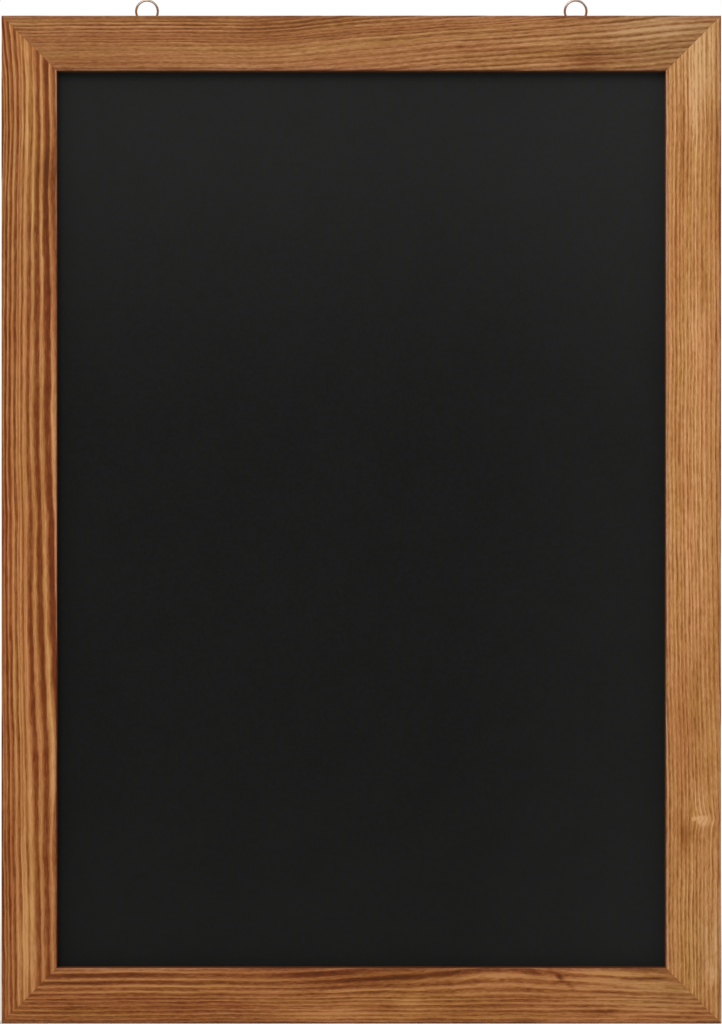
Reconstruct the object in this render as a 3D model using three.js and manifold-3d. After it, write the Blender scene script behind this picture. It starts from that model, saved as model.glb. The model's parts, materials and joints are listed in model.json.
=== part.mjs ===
// A framed chalkboard that hangs on a wall by two rings.
// Millimetres, +Z up. The writing side faces -Y and the wall is on the +Y side.
// The origin is where the wall hooks carry the board: midway between the two rings,
// at the underside of their tops.
import * as THREE from "three";
import { mergeVertices } from "three/addons/utils/BufferGeometryUtils.js";
import Module from "manifold-3d";

const wasm = await Module();
wasm.setup();

// The board and its frame
const boardWidth = 500;
const boardHeight = 700;
const faceWidth = 38.5; // of one side of the frame, seen from the front
const frameDepth = 18; // front to back
const frontOuterRadius = 1.5; // of the front's long edges
const frontInnerRadius = 0.8;
const backEdgeRadius = 1.5;
const rebateWidth = 8; // step cut in the back of each side, which the panel lies in
const lipDepth = 9; // wood left in front of the panel
const glueLine = 0.2; // between two mitred ends

// The writing panel
const panelThickness = 3;
const panelPlay = 0.8; // round the panel's edge, for the wood to move

// Gaps between pieces
const seatGap = 0.2; // between a piece and the flat face that it lies on
const fitGap = 0.3; // round a piece driven or screwed into wood or put through a hole
const runningGap = 0.3; // round the wire in its knuckle

// V-nails, two across the back of each mitre
const vNailLeg = 6;
const vNailThickness = 0.8;
const vNailDepth = 10;
const vNailMargin = 5; // from the edges of the frame's back face
const vNailSink = 0.3; // below the back face

// Flat points that hold the panel in the rebate
const pointWidth = 6;
const pointThickness = 0.6;
const pointInWood = 7;
const pointTaper = 3.5; // length of the sharpened end
const pointOverPanel = 6;
const pointsOnLongSide = 3;
const pointsOnShortSide = 2;
const pointCornerDistance = 90; // from the board's edge to the first point

// Hanging rings
const ringMeanRadius = 7.6; // to the middle of the wire
const wireDiameter = 1.6;
const wireButtGap = 0.4; // where the bent wire's two ends meet, inside the knuckle
const hangerInset = 100; // from the board's side to the middle of a ring
const ringDrop = 2.1; // of the ring's lowest wire centre, below the board's top edge

// Ring straps, each a strip folded round its ring
const strapSheet = 0.8;
const strapWidth = 10;
const strapNeckWidth = 4.4; // at the knuckle, so that the round ring clears it
const strapNeckLength = 3; // from the knuckle's axis down
const strapFlare = 3.5; // length over which the neck widens
const strapLeafGap = 0.2; // between the two leaves
const knuckleWrap = 50; // degrees that the fold goes round past level, before it runs to the leaf
const upperHoleDrop = 8.5; // from the knuckle's axis
const holePitch = 11.5;

// Strap screws
const screwDiameter = 3;
const screwLength = 12; // under the head
const screwTip = 3;
const screwHeadDiameter = 5.6;
const screwHeadHeight = 1.7;
const screwHeadRim = 0.5; // height of the head's upright edge, below its dome
const recessSpan = 3;
const recessWidth = 0.8;
const recessDepth = 0.9;

// Counts of facets
const edgeSteps = 5; // on a rounded edge of the frame
const knuckleSteps = 18;
const ringSteps = 40;
const wireSides = 10;
const screwSides = 20;
const domeSteps = 5; // on a screw head
const strapCurveSteps = 8; // on each curve of a strap's outline
const cutMargin = 1; // how far a cutting or trimmed shape runs past what it cuts

// Worked out from the sizes above. In the board's own frame x is 0 at its middle, y is 0 on the
// back face of its frame and z is 0 at its top edge.
const rebateDepth = frameDepth - lipDepth;
const backFaceWidth = faceWidth - rebateWidth;
const panelFrontY = -rebateDepth + seatGap;
const panelBackY = panelFrontY + panelThickness;
const wireRadius = wireDiameter / 2;
const neckHalf = strapNeckWidth / 2;
// The round ring rises this much between the knuckle's middle and its ends.
const ringRise = ringMeanRadius - Math.sqrt(ringMeanRadius ** 2 - neckHalf ** 2);
const knuckleMeanRadius = wireRadius + ringRise + runningGap + strapSheet / 2;
const frontLeafY = seatGap + strapSheet / 2;
const backLeafY = frontLeafY + strapSheet + strapLeafGap;
const strapBackY = backLeafY + strapSheet / 2;
const ringY = frontLeafY + knuckleMeanRadius;
const bearingZ = 2 * ringMeanRadius - wireRadius - ringDrop;
const hangerX = boardWidth / 2 - hangerInset;
const lowerHoleDrop = upperHoleDrop + holePitch;
const strapEndDrop = lowerHoleDrop + strapWidth / 2;
const screwHoleRadius = screwDiameter / 2 + fitGap;

const axisX = new THREE.Vector3(1, 0, 0);
const axisY = new THREE.Vector3(0, 1, 0);
const axisZ = new THREE.Vector3(0, 0, 1);

const stainedPine = new THREE.MeshStandardMaterial({ color: 0xa06a3c, roughness: 0.62 });
const chalkBlack = new THREE.MeshStandardMaterial({ color: 0x1e1d1c, roughness: 0.85 });
const brightSteel = new THREE.MeshStandardMaterial({
  color: 0xa8a9aa,
  roughness: 0.4,
  metalness: 1,
});
const brass = new THREE.MeshStandardMaterial({ color: 0xb98a5e, roughness: 0.3, metalness: 1 });

// A closed geometry with its shared corners merged, as a solid for cutting.
function solidOf(geometry) {
  const bare = geometry.index ? geometry.toNonIndexed() : geometry.clone();
  bare.deleteAttribute("normal");
  bare.deleteAttribute("uv");
  const merged = mergeVertices(bare, 1e-4);
  return new wasm.Manifold(
    new wasm.Mesh({
      numProp: 3,
      vertProperties: merged.attributes.position.array,
      triVerts: new Uint32Array(merged.index.array),
    }),
  );
}

function geometryOf(solid) {
  const mesh = solid.getMesh();
  const geometry = new THREE.BufferGeometry();
  geometry.setAttribute("position", new THREE.BufferAttribute(mesh.vertProperties, 3));
  geometry.setIndex(new THREE.BufferAttribute(mesh.triVerts, 1));
  geometry.computeVertexNormals();
  return geometry;
}

// An outline drawn in x and z becomes a slab whose back lies at y = 0 and whose front is at -depth.
function slab(outline, depth, curveSegments = 1) {
  const settings = { depth, bevelEnabled: false, curveSegments };
  return new THREE.ExtrudeGeometry(outline, settings).rotateX(Math.PI / 2);
}

function outlineThrough(points) {
  return new THREE.Shape(points.map(([across, up]) => new THREE.Vector2(across, up)));
}

function named(name, geometry, material) {
  const mesh = new THREE.Mesh(geometry, material);
  mesh.name = name;
  return mesh;
}

// One side of the frame, lying level, with its outer edge along z = 0 and its back face at y = 0.
// Its section is drawn with x running in from the outer edge.
function frameSideGeometry(length) {
  const section = new THREE.Shape();
  section.moveTo(0, -backEdgeRadius);
  section.absarc(backEdgeRadius, -backEdgeRadius, backEdgeRadius, Math.PI, Math.PI / 2, true);
  section.lineTo(backFaceWidth, 0);
  section.lineTo(backFaceWidth, -rebateDepth);
  section.lineTo(faceWidth, -rebateDepth);
  const innerRadius = frontInnerRadius;
  const outerRadius = frontOuterRadius;
  const innerX = faceWidth - innerRadius;
  section.absarc(innerX, innerRadius - frameDepth, innerRadius, 0, -Math.PI / 2, true);
  section.absarc(outerRadius, outerRadius - frameDepth, outerRadius, -Math.PI / 2, -Math.PI, true);
  const geometry = new THREE.ExtrudeGeometry(section, {
    depth: length,
    bevelEnabled: false,
    curveSegments: edgeSteps,
  });
  // Each end is drawn back by the distance from the outer edge, which cuts the mitre.
  const mitreGap = (glueLine / 2) * Math.SQRT2;
  const corner = geometry.attributes.position;
  for (let i = 0; i < corner.count; i++) {
    const reach = length / 2 - corner.getX(i) - mitreGap;
    corner.setZ(i, corner.getZ(i) > length / 2 ? reach : -reach);
  }
  return geometry.rotateY(Math.PI / 2);
}

// The four sides, each turned to its place round the board's middle.
function frameSide(name, length, turn, reach) {
  const place = new THREE.Group();
  place.position.z = -boardHeight / 2;
  place.rotation.y = turn;
  const side = named(name, frameSideGeometry(length), stainedPine);
  side.position.z = reach;
  place.add(side);
  return place;
}

function chalkPanel() {
  const halfWidth = boardWidth / 2 - backFaceWidth - panelPlay;
  const halfHeight = boardHeight / 2 - backFaceWidth - panelPlay;
  const outline = outlineThrough([
    [-halfWidth, -halfHeight],
    [halfWidth, -halfHeight],
    [halfWidth, halfHeight],
    [-halfWidth, halfHeight],
  ]);
  const panel = named("chalk_panel", slab(outline, panelThickness), chalkBlack);
  panel.position.set(0, panelBackY, -boardHeight / 2);
  return panel;
}

// A V-nail's outline. Its corner points at the board's middle and each leg crosses one side's grain.
function vNailOutline(grow) {
  const leg = vNailLeg + grow;
  const inner = vNailThickness + grow;
  return outlineThrough([
    [grow, -grow],
    [grow, leg],
    [-inner, leg],
    [-inner, inner],
    [-leg, inner],
    [-leg, -grow],
  ]);
}

// Two V-nails at one corner, with x running along one side of the frame and -z down the other.
function vNailPair(cornerName, cornerX, cornerZ, turn) {
  const corner = new THREE.Group();
  corner.position.set(cornerX, 0, cornerZ);
  corner.rotation.y = turn;
  const outerPlace = vNailMargin + vNailLeg;
  const innerPlace = backFaceWidth - vNailMargin;
  const places = [
    ["outer", outerPlace],
    ["inner", innerPlace],
  ];
  for (const [rank, along] of places) {
    const name = `v_nail_${cornerName}_${rank}`;
    const nail = named(name, slab(vNailOutline(0), vNailDepth), brightSteel);
    nail.position.set(along, -vNailSink, -along);
    const pocketDepth = cutMargin + vNailSink + vNailDepth + fitGap;
    corner.add(nail, pocket(slab(vNailOutline(fitGap), pocketDepth), along, cutMargin, -along));
  }
  return corner;
}

// A flat point's outline: square over the panel and sharp in the wood. z is 0 at the rebate's wall.
function pointOutline(grow) {
  const half = pointWidth / 2 + grow;
  return outlineThrough([
    [-half, -pointOverPanel],
    [half, -pointOverPanel],
    [half, pointInWood - pointTaper],
    [0, pointInWood + grow],
    [-half, pointInWood - pointTaper],
  ]);
}

// The points along one side of the rebate, with z running out into the wood.
function panelPoints(sideName, count, length, turn, reach) {
  const side = new THREE.Group();
  side.position.z = -boardHeight / 2;
  side.rotation.y = turn;
  const first = pointCornerDistance - length / 2;
  const pitch = (-2 * first) / (count - 1);
  const pointBackY = panelBackY + seatGap + pointThickness;
  const slotDepth = pointThickness + 2 * fitGap;
  for (let i = 0; i < count; i++) {
    const along = first + i * pitch;
    const name = `panel_point_${sideName}_${i + 1}`;
    const point = named(name, slab(pointOutline(0), pointThickness), brightSteel);
    point.position.set(along, pointBackY, reach);
    const slot = slab(pointOutline(fitGap), slotDepth);
    side.add(point, pocket(slot, along, pointBackY + fitGap, reach));
  }
  return side;
}

// What is cut out of the wood for a piece. Pockets leave the model once they have cut.
const pockets = [];
function pocket(geometry, x, y, z) {
  const tool = new THREE.Mesh(geometry);
  tool.position.set(x, y, z);
  pockets.push(tool);
  return tool;
}

// A bent wire ring with its butted ends at the bottom. Its pivot is the origin.
function ringGeometry() {
  const halfGap = wireButtGap / 2 / ringMeanRadius;
  const bend = new THREE.Curve();
  bend.getPoint = (t, target = new THREE.Vector3()) => {
    const angle = -Math.PI / 2 + halfGap + t * 2 * (Math.PI - halfGap);
    return target.set(
      ringMeanRadius * Math.cos(angle),
      0,
      ringMeanRadius * (1 + Math.sin(angle)),
    );
  };
  const section = new THREE.Shape();
  for (let i = 0; i < wireSides; i++) {
    const angle = (2 * Math.PI * i) / wireSides;
    const put = i === 0 ? "moveTo" : "lineTo";
    section[put](wireRadius * Math.cos(angle), wireRadius * Math.sin(angle));
  }
  return new THREE.ExtrudeGeometry(section, {
    extrudePath: bend,
    steps: ringSteps,
    bevelEnabled: false,
  });
}

// The strip's middle line, seen from the side as [y, z] from the pivot: up the front leaf, over the
// wire and down the back leaf.
function strapMiddleLine() {
  const wrap = THREE.MathUtils.degToRad(knuckleWrap);
  const end = -strapEndDrop - cutMargin;
  const line = [[frontLeafY - ringY, end]];
  for (let i = 0; i <= knuckleSteps; i++) {
    const angle = Math.PI - ((Math.PI + wrap) * i) / knuckleSteps;
    line.push([knuckleMeanRadius * Math.cos(angle), knuckleMeanRadius * Math.sin(angle)]);
  }
  const [lastY, lastZ] = line.at(-1);
  const leafY = backLeafY - ringY;
  line.push([leafY, lastZ - (lastY - leafY) / Math.tan(wrap)]);
  line.push([leafY, end]);
  return line;
}

// Both faces of a strip of even thickness along a line, as one outline.
function stripOutline(line, thickness) {
  const offset = (side) =>
    line.map(([y, z], i) => {
      const before = line[Math.max(i - 1, 0)];
      const after = line[Math.min(i + 1, line.length - 1)];
      const into = new THREE.Vector2(y - before[0], z - before[1]).normalize();
      const out = new THREE.Vector2(after[0] - y, after[1] - z).normalize();
      if (into.length() === 0) into.copy(out);
      if (out.length() === 0) out.copy(into);
      const along = into.clone().add(out).normalize();
      const reach = (side * thickness) / 2 / along.dot(into);
      return [y - along.y * reach, z + along.x * reach];
    });
  return outlineThrough([...offset(1), ...offset(-1).reverse()]);
}

// The strip's shape seen from behind: a narrow neck at the fold, and a round end.
function strapFaceOutline() {
  const half = strapWidth / 2;
  const top = knuckleMeanRadius + strapSheet;
  const flareStart = -strapNeckLength;
  const flareEnd = flareStart - strapFlare;
  const bend = strapFlare / 2;
  const shape = new THREE.Shape();
  shape.moveTo(neckHalf, top);
  shape.lineTo(-neckHalf, top);
  shape.lineTo(-neckHalf, flareStart);
  shape.bezierCurveTo(-neckHalf, flareStart - bend, -half, flareEnd + bend, -half, flareEnd);
  shape.absarc(0, -lowerHoleDrop, half, Math.PI, 2 * Math.PI, false);
  shape.lineTo(half, flareEnd);
  shape.bezierCurveTo(half, flareEnd + bend, neckHalf, flareStart - bend, neckHalf, flareStart);
  return shape;
}

// The round hole that a screw's shank has room in.
function screwHole(depth) {
  return new THREE.CylinderGeometry(screwHoleRadius, screwHoleRadius, depth, screwSides);
}

function strapGeometry() {
  // The side view is drawn as [y, z], pushed out along z, and turned so that z becomes x.
  const strip = new THREE.ExtrudeGeometry(stripOutline(strapMiddleLine(), strapSheet), {
    depth: strapWidth + 2 * cutMargin,
    bevelEnabled: false,
  });
  strip.translate(0, 0, -strapWidth / 2 - cutMargin);
  strip.applyMatrix4(new THREE.Matrix4().makeBasis(axisY, axisZ, axisX));
  const throughDepth = 4 * ringY;
  const face = slab(strapFaceOutline(), throughDepth, strapCurveSteps);
  face.translate(0, throughDepth / 2, 0);
  let solid = solidOf(strip).intersect(solidOf(face));
  for (const drop of [upperHoleDrop, lowerHoleDrop]) {
    const hole = screwHole(throughDepth).translate(0, 0, -drop);
    solid = solid.subtract(solidOf(hole));
  }
  return geometryOf(solid);
}

// A round-head screw along y: its head stands behind y = 0 and its tip is at -screwLength.
function screwGeometry() {
  const radius = screwDiameter / 2;
  const headRadius = screwHeadDiameter / 2;
  const profile = new THREE.Path();
  profile.moveTo(0, -screwLength);
  profile.lineTo(radius, screwTip - screwLength);
  profile.lineTo(radius, 0);
  profile.lineTo(headRadius, 0);
  const domeHeight = screwHeadHeight - screwHeadRim;
  profile.absellipse(0, screwHeadRim, headRadius, domeHeight, 0, Math.PI / 2, false, 0);
  const points = profile.getPoints(domeSteps);
  points.at(-1).x = 0;
  let solid = solidOf(new THREE.LatheGeometry(points, screwSides));
  const slots = [
    [recessSpan, recessWidth],
    [recessWidth, recessSpan],
  ];
  for (const [width, height] of slots) {
    const slot = new THREE.BoxGeometry(width, 2 * recessDepth, height);
    solid = solid.subtract(solidOf(slot.translate(0, screwHeadHeight, 0)));
  }
  return geometryOf(solid);
}

// One hanger: the ring in its strap, and the two screws that hold the strap to the top rail.
function hanger(sideName, x) {
  const place = new THREE.Group();
  place.position.set(x, ringY, -ringDrop);
  place.add(named(`hanging_ring_${sideName}`, ringGeometry(), brass));
  place.add(named(`ring_strap_${sideName}`, strapGeometry(), brass));
  const headSeatY = strapBackY + seatGap - ringY;
  const holeDepth = screwLength + fitGap;
  const places = [
    ["upper", upperHoleDrop],
    ["lower", lowerHoleDrop],
  ];
  for (const [rank, drop] of places) {
    const screw = named(`strap_screw_${sideName}_${rank}`, screwGeometry(), brass);
    screw.position.set(0, headSeatY, -drop);
    place.add(screw, pocket(screwHole(holeDepth), 0, headSeatY - holeDepth / 2, -drop));
  }
  return place;
}

// Cuts every pocket that reaches a side of the frame out of it.
function cutPockets(side) {
  const toSide = side.matrixWorld.clone().invert();
  let solid = solidOf(side.geometry);
  for (const tool of pockets) {
    const placed = tool.geometry.clone().applyMatrix4(tool.matrixWorld).applyMatrix4(toSide);
    solid = solid.subtract(solidOf(placed));
  }
  side.geometry = geometryOf(solid);
}

const chalkboard = new THREE.Group();
chalkboard.position.set(0, -ringY, -bearingZ);

const quarterTurn = Math.PI / 2;
chalkboard.add(
  frameSide("top_rail", boardWidth, 0, boardHeight / 2),
  frameSide("right_stile", boardHeight, quarterTurn, boardWidth / 2),
  frameSide("bottom_rail", boardWidth, 2 * quarterTurn, boardHeight / 2),
  frameSide("left_stile", boardHeight, 3 * quarterTurn, boardWidth / 2),
);
chalkboard.add(chalkPanel());

const rebateHalfWidth = boardWidth / 2 - backFaceWidth;
const rebateHalfHeight = boardHeight / 2 - backFaceWidth;
chalkboard.add(
  panelPoints("top", pointsOnShortSide, boardWidth, 0, rebateHalfHeight),
  panelPoints("right", pointsOnLongSide, boardHeight, quarterTurn, rebateHalfWidth),
  panelPoints("bottom", pointsOnShortSide, boardWidth, 2 * quarterTurn, rebateHalfHeight),
  panelPoints("left", pointsOnLongSide, boardHeight, 3 * quarterTurn, rebateHalfWidth),
);

chalkboard.add(
  vNailPair("top_left", -boardWidth / 2, 0, 0),
  vNailPair("top_right", boardWidth / 2, 0, quarterTurn),
  vNailPair("bottom_right", boardWidth / 2, -boardHeight, 2 * quarterTurn),
  vNailPair("bottom_left", -boardWidth / 2, -boardHeight, 3 * quarterTurn),
);

chalkboard.add(hanger("left", -hangerX), hanger("right", hangerX));

chalkboard.updateMatrixWorld(true);
for (const name of ["top_rail", "right_stile", "bottom_rail", "left_stile"]) {
  cutPockets(chalkboard.getObjectByName(name));
}
for (const tool of pockets) tool.removeFromParent();

export default chalkboard;
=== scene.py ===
import json
import math

import bmesh
import bpy
import numpy as np
from mathutils import Matrix, Vector


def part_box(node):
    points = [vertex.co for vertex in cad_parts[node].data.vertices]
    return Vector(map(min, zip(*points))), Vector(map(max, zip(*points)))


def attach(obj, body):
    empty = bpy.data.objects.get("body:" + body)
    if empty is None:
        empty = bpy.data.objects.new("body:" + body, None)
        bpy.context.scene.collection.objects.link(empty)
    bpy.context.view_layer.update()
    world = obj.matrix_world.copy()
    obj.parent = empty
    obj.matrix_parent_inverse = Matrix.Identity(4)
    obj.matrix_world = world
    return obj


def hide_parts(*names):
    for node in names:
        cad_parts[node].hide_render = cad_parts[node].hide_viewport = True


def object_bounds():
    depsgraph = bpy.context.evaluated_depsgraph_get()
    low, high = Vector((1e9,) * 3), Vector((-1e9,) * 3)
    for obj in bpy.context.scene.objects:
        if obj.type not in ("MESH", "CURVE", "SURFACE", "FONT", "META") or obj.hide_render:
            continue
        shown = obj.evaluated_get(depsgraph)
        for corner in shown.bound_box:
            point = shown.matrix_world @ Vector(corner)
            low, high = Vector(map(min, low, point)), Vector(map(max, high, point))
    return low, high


# A framed chalkboard that hangs by two wire rings: the finish of every piece, round the packed
# model. Metres, with the writing side facing -Y and the wall on the +Y side.
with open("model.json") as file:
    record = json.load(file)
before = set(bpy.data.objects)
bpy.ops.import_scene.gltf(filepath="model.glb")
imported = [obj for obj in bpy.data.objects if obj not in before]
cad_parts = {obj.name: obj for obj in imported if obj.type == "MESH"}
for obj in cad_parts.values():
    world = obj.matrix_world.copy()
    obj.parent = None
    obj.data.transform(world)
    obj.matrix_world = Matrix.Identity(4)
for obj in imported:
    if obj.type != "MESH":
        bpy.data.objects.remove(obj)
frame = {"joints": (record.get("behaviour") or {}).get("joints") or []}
cad_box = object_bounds()
scene = bpy.context.scene
mm = 0.001

# The camera stands straight in front of the board, a hair to its left and five millimetres above
# its middle, where the photo's camera stood.
photo_distance = 2.5  # from the front of the frame
photo_field = 0.7109  # height seen at that distance
photo_long_side = 36.0  # of the camera's sensor, in its own millimetres
photo_aside = -0.00024
photo_height = -0.3572
front_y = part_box("top_rail")[0].y

photo_camera = bpy.data.objects.new("photo_camera", bpy.data.cameras.new("photo_camera"))
photo_camera.data.sensor_width = photo_long_side
photo_camera.data.lens = photo_long_side * photo_distance / photo_field
photo_camera.location = (photo_aside, front_y - photo_distance, photo_height)
photo_camera.rotation_euler = (math.radians(90), 0, 0)
scene.collection.objects.link(photo_camera)
scene.camera = photo_camera


# The floor is a plain pale sheet just under the board, and the light is that of a white studio
# with a large soft lamp above the board's left side and a weaker one behind it.
class Finish:
    """A material or a world, with short ways to add nodes. An input is a value or an output."""

    def __init__(self, name, kind="Material"):
        self.kind = kind
        self.owner = (bpy.data.worlds if kind == "World" else bpy.data.materials).new(name)
        self.owner.use_nodes = True
        self.tree = self.owner.node_tree
        self.tree.nodes.clear()

    def add(self, kind, inputs=(), output=0, **settings):
        node = self.tree.nodes.new("ShaderNode" + kind)
        for name, value in settings.items():
            setattr(node, name, value)
        named = inputs.items() if isinstance(inputs, dict) else enumerate(inputs)
        for key, value in named:
            if isinstance(value, bpy.types.NodeSocket):
                self.tree.links.new(value, node.inputs[key])
            else:
                node.inputs[key].default_value = value
        return node.outputs[output]

    def calc(self, operation, *values):
        return self.add("Math", values, operation=operation)

    def plus(self, first, second):
        return self.calc("ADD", first, second)

    def times(self, first, second):
        return self.calc("MULTIPLY", first, second)

    def sway(self, noise, amount):
        """A noise from 0 to 1 turned into one about 0, of an amount from end to end."""
        return self.calc("MULTIPLY_ADD", noise, amount, -amount / 2)

    def seen_by(self, *kinds):
        """1 for rays of any of the kinds, and 0 for others."""
        rays = [self.add("LightPath", output=f"Is {kind} Ray") for kind in kinds]
        either = rays[0]
        for ray in rays[1:]:
            either = self.calc("MAXIMUM", either, ray)
        return either

    def attribute(self, name):
        return self.add("Attribute", output="Vector", attribute_name=name)

    def parts(self, vector):
        node = self.tree.nodes.new("ShaderNodeSeparateXYZ")
        self.tree.links.new(vector, node.inputs[0])
        return node.outputs

    def noise(self, vector, stretch, detail=2.0, roughness=0.5):
        """Noise from 0 to 1, with so many features per unit along each direction."""
        scaled = self.add("VectorMath", (vector, stretch), operation="MULTIPLY")
        settings = {"Vector": scaled, "Scale": 1.0, "Detail": detail, "Roughness": roughness}
        return self.add("TexNoise", settings)

    def ramp(self, value, low, high, from_value=0.0, to_value=1.0):
        """Goes smoothly from one value to the other as the input goes from low to high."""
        inputs = (value, low, high, from_value, to_value)
        return self.add("MapRange", inputs, interpolation_type="SMOOTHSTEP")

    def stops(self, value, *pairs):
        """A colour by a value, through (value, colour) pairs given in rising order."""
        node = self.tree.nodes.new("ShaderNodeValToRGB")
        self.tree.links.new(value, node.inputs[0])
        stops = node.color_ramp.elements
        for i, (place, colour) in enumerate(pairs):
            stop = stops[i] if i < len(stops) else stops.new(place)
            stop.position = place
            stop.color = (*colour, 1)
        return node.outputs["Color"]

    def blend(self, share, first, second, mode="MIX"):
        inputs = {0: share, 6: first, 7: second}
        return self.add("Mix", inputs, output=2, data_type="RGBA", blend_type=mode)

    def bump(self, height, distance, strength=1.0):
        inputs = {"Height": height, "Distance": distance, "Strength": strength}
        return self.add("Bump", inputs, output="Normal")

    def surface(self, colour, roughness, normal=None, **constants):
        inputs = {"Base Color": colour, "Roughness": roughness}
        for name, value in constants.items():
            inputs[name.replace("_", " ")] = value
        if normal is not None:
            inputs["Normal"] = normal
        return self.finished(self.add("BsdfPrincipled", inputs))

    def finished(self, shader):
        output = self.tree.nodes.new("ShaderNodeOutput" + self.kind)
        self.tree.links.new(shader, output.inputs["Surface"])
        return self.owner


floor_size = 8.0
floor_colour = (0.86, 0.86, 0.85, 1)
floor_fade = (0.35, 1.1)  # distances from the middle between which it turns white
studio_glow = 0.55  # of the white studio on matt surfaces, where a strength of 1 is white
lamps = {
    # name: place, size and power
    "key_lamp": ((-0.5, -2.2, 1.1), 1.2, 34),
    "back_lamp": ((1.0, 2.3, 0.9), 1.4, 26),
}
board_centre = (cad_box[0] + cad_box[1]) / 2

floor_mesh = bpy.data.meshes.new("studio_floor")
half = floor_size / 2
floor_z = cad_box[0].z
corners = [(-half, -half), (half, -half), (half, half), (-half, half)]
floor_mesh.from_pydata([(x, y, floor_z) for x, y in corners], [], [(0, 1, 2, 3)])
studio_floor = bpy.data.objects.new("studio_floor", floor_mesh)
scene.collection.objects.link(studio_floor)
# Away from the board the floor fades into the white of the studio.
floor_finish = Finish("studio_floor")
floor_place = floor_finish.add("TexCoord", output="Object")
floor_tone = floor_finish.noise(floor_place, (9, 9, 9))
floor_sheet = floor_finish.add("BsdfPrincipled", {
    "Base Color": floor_colour,
    "Roughness": floor_finish.ramp(floor_tone, 0.3, 0.7, 0.75, 0.85),
})
level_place = floor_finish.add("VectorMath", (floor_place, (1, 1, 0)), operation="MULTIPLY")
distance = floor_finish.add("VectorMath", [level_place], output="Value", operation="LENGTH")
seen = floor_finish.seen_by("Camera", "Glossy")
fade = floor_finish.times(floor_finish.ramp(distance, *floor_fade), seen)
white = floor_finish.add("Emission", {"Color": (1, 1, 1, 1), "Strength": 1.0})
floor_mesh.materials.append(
    floor_finish.finished(floor_finish.add("MixShader", (fade, floor_sheet, white)))
)

for name, (place, size, power) in lamps.items():
    lamp = bpy.data.objects.new(name, bpy.data.lights.new(name, "AREA"))
    lamp.data.size = size
    lamp.data.energy = power
    lamp.location = place
    lamp.rotation_euler = (board_centre - Vector(place)).to_track_quat("-Z", "Y").to_euler()
    scene.collection.objects.link(lamp)

studio = Finish("white_studio", "World")
strength = studio.ramp(studio.seen_by("Camera", "Glossy", "Transmission"), 0, 1, studio_glow, 1)
glow = studio.add("Background", {"Color": (1, 1, 1, 1), "Strength": strength})
scene.world = studio.finished(glow)
scene.view_settings.view_transform = "Standard"


# The frame's four sides are pine moulding, mitred and glued at the corners. Brushing has worn the
# soft wood down between the hard dark rings, and a brown stain and a thin varnish cover it.
side_low, side_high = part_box("left_stile")
frame_left = side_low.x
frame_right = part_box("right_stile")[1].x
frame_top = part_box("top_rail")[1].z
frame_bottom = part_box("bottom_rail")[0].z
# Sizes are in millimetres: along a side from its top or left end, across it from the outer edge,
# and deep from its front.
face_width = (side_high.x - side_low.x) / mm
frame_depth = (side_high.y - side_low.y) / mm
outer_radius = 1.5
inner_radius = 0.8
back_radius = 1.5
rebate_width = 8.0
lip_depth = 9.0
joint_gap = 0.015  # from a mitred end to the mitre
mitre_easing = 0.10  # drop of the sanded edges of a mitre
easing_width = 0.7
brushed_depth = 0.13  # of the soft wood, below the dark rings
corner_wear = 0.12  # about the most that is worn off the outer front corner
corner_wear_place = 0.4  # both across and deep
corner_wear_reach = 0.9
row_spacing = 4.0  # of the outlines along a side
mitre_rows = (easing_width, 2.0)  # more outlines at these distances from both ends
knot_rows = (-24, 32, 1.3)  # and round a knot, from one distance to another with this spacing
ring_lean = 0.45  # how far the rings move across for each millimetre of depth
common_ring = (2.7, 0.7, 0.7)  # pitch, half width and tone of the rings not placed one by one
patch_depth = 11.0  # how deep a side's patches reach
patch_strength = 0.42  # of the tones given to patches and streaks
soft_tone = 0.62  # of the wood between the rings, where 0 is the darkest tone and 1 the palest
edge_shade = 0.38  # painted shade: a darker tone along the outer edge
edge_shade_width = 2.6
edge_sheen_width = 1.7  # of the painted sheen along the front's edges
# Where a ring starts, is darkest, begins to pale and ends, in half widths from its middle. It
# starts slowly and ends sharply.
ring_start, ring_full, ring_turn, ring_end = -2.6, -0.3, 0.4, 1.3


def arc(across, deep, radius, first, last, steps):
    """Points on an arc from one angle to another, without the last one."""
    angle = np.radians(np.linspace(first, last, steps, endpoint=False))
    return np.column_stack([across + radius * np.cos(angle), deep + radius * np.sin(angle)])


def run(start, end, step):
    """Points about a step apart on a straight run, without the last one."""
    count = max(1, round(math.dist(start, end) / step))
    share = np.linspace(0, 1, count, endpoint=False)[:, None]
    return np.array(start) * (1 - share) + np.array(end) * share


def moulding_outline():
    """The moulding's cross-section, from the front of its outer edge round to that point."""
    wall = face_width - rebate_width
    return np.vstack([
        arc(outer_radius, outer_radius, outer_radius, 180, 270, 5),
        run((outer_radius, 0), (face_width - inner_radius, 0), 0.5),
        arc(face_width - inner_radius, inner_radius, inner_radius, 270, 360, 4),
        run((face_width, inner_radius), (face_width, lip_depth), 1.0),
        run((face_width, lip_depth), (wall, lip_depth), 1.6),
        run((wall, lip_depth), (wall, frame_depth), 1.8),
        run((wall, frame_depth), (back_radius, frame_depth), 0.8),
        arc(back_radius, frame_depth - back_radius, back_radius, 90, 180, 4),
        run((0, frame_depth - back_radius), (0, outer_radius), 0.7),
    ])


def eased(at, places, values, reach=14.0):
    """The values given at some places, joined by straight lines and smoothed over a reach."""
    offsets = np.linspace(-reach, reach, 11)
    return np.mean([np.interp(at + offset, places, values) for offset in offsets], axis=0)


def drifted(drift, along, across):
    """How far the rings lie further in than their own places, across the face and along it."""
    stations = sorted(drift)
    outer, middle, inner = [
        eased(along, stations, [drift[station][i] for station in stations]) for i in range(3)
    ]
    share = across / (face_width / 2)
    near_edge = outer + (middle - outer) * share
    return np.where(share < 1, near_edge, middle + (inner - middle) * (share - 1))


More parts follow.
